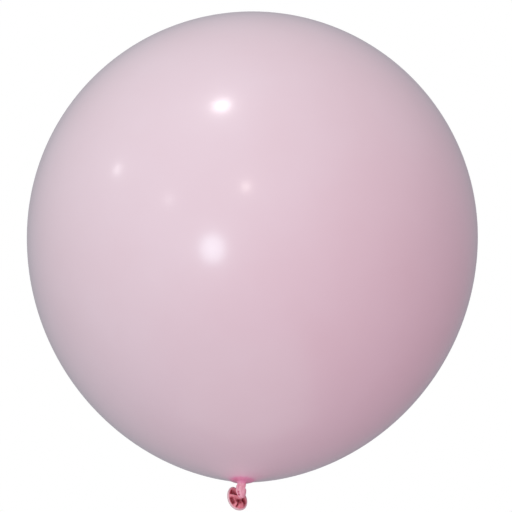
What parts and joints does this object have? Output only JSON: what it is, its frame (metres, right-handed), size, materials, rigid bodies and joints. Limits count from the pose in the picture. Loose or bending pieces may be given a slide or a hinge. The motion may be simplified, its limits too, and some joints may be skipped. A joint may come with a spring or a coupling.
{
  "type": "tied round latex balloon",
  "caption": "Blown-up round latex balloon in pale pink, tied with an overhand knot at the bottom, its short flared tail ending in a rolled lip.",
  "frame": {"origin": "middle of the waist, the narrow gathered neck between the skin and the knot", "axes": "+Z along the balloon's own axis, from the knot to the crown; -Y is the front, and the tail points back and to the left, +Y and -X"},
  "size_m": [0.4499, 0.45, 0.507],
  "materials": {
    "stretched_skin": "satin, pale pastel pink, film stretched thin",
    "crown": "satin, deeper pink, film stretched less",
    "gathered_film": "satin, deep pink, film gathered in pleats",
    "neck": "satin, deep pink, film not stretched",
    "tail": "satin, deep pink, creased",
    "lip": "satin, pink, film rolled into a bead"
  },
  "bodies": {
    "balloon": {"envelope": "stretched_skin", "crown_spot": "crown", "throat": "gathered_film"},
    "waist": {"neck_waist": "neck"},
    "knot": {"knot_core": "neck", "knot_turn": "neck", "knot_tuck": "neck"},
    "tail": {"tail_flare": "tail", "lip_bead": "lip"}
  },
  "joints": [
    {"name": "neck_side_bend", "type": "hinge", "parent": "balloon", "child": "waist", "pos_m": [0, 0, 0.0026], "axis": [0, 1, 0], "range_deg": [-30, 20], "stiffness_Nm_per_rad": 0.0001},
    {"name": "neck_nod", "type": "hinge", "parent": "waist", "child": "knot", "pos_m": [0, 0, -0.0024], "axis": [1, 0, 0], "range_deg": [-35, 8], "stiffness_Nm_per_rad": 0.0001},
    {"name": "tail_flop", "type": "hinge", "parent": "knot", "child": "tail", "pos_m": [-0.0016, 0.0026, -0.0122], "axis": [0.848, 0.5299, 0], "range_deg": [-35, 2], "stiffness_Nm_per_rad": 0.0001}
  ]
}
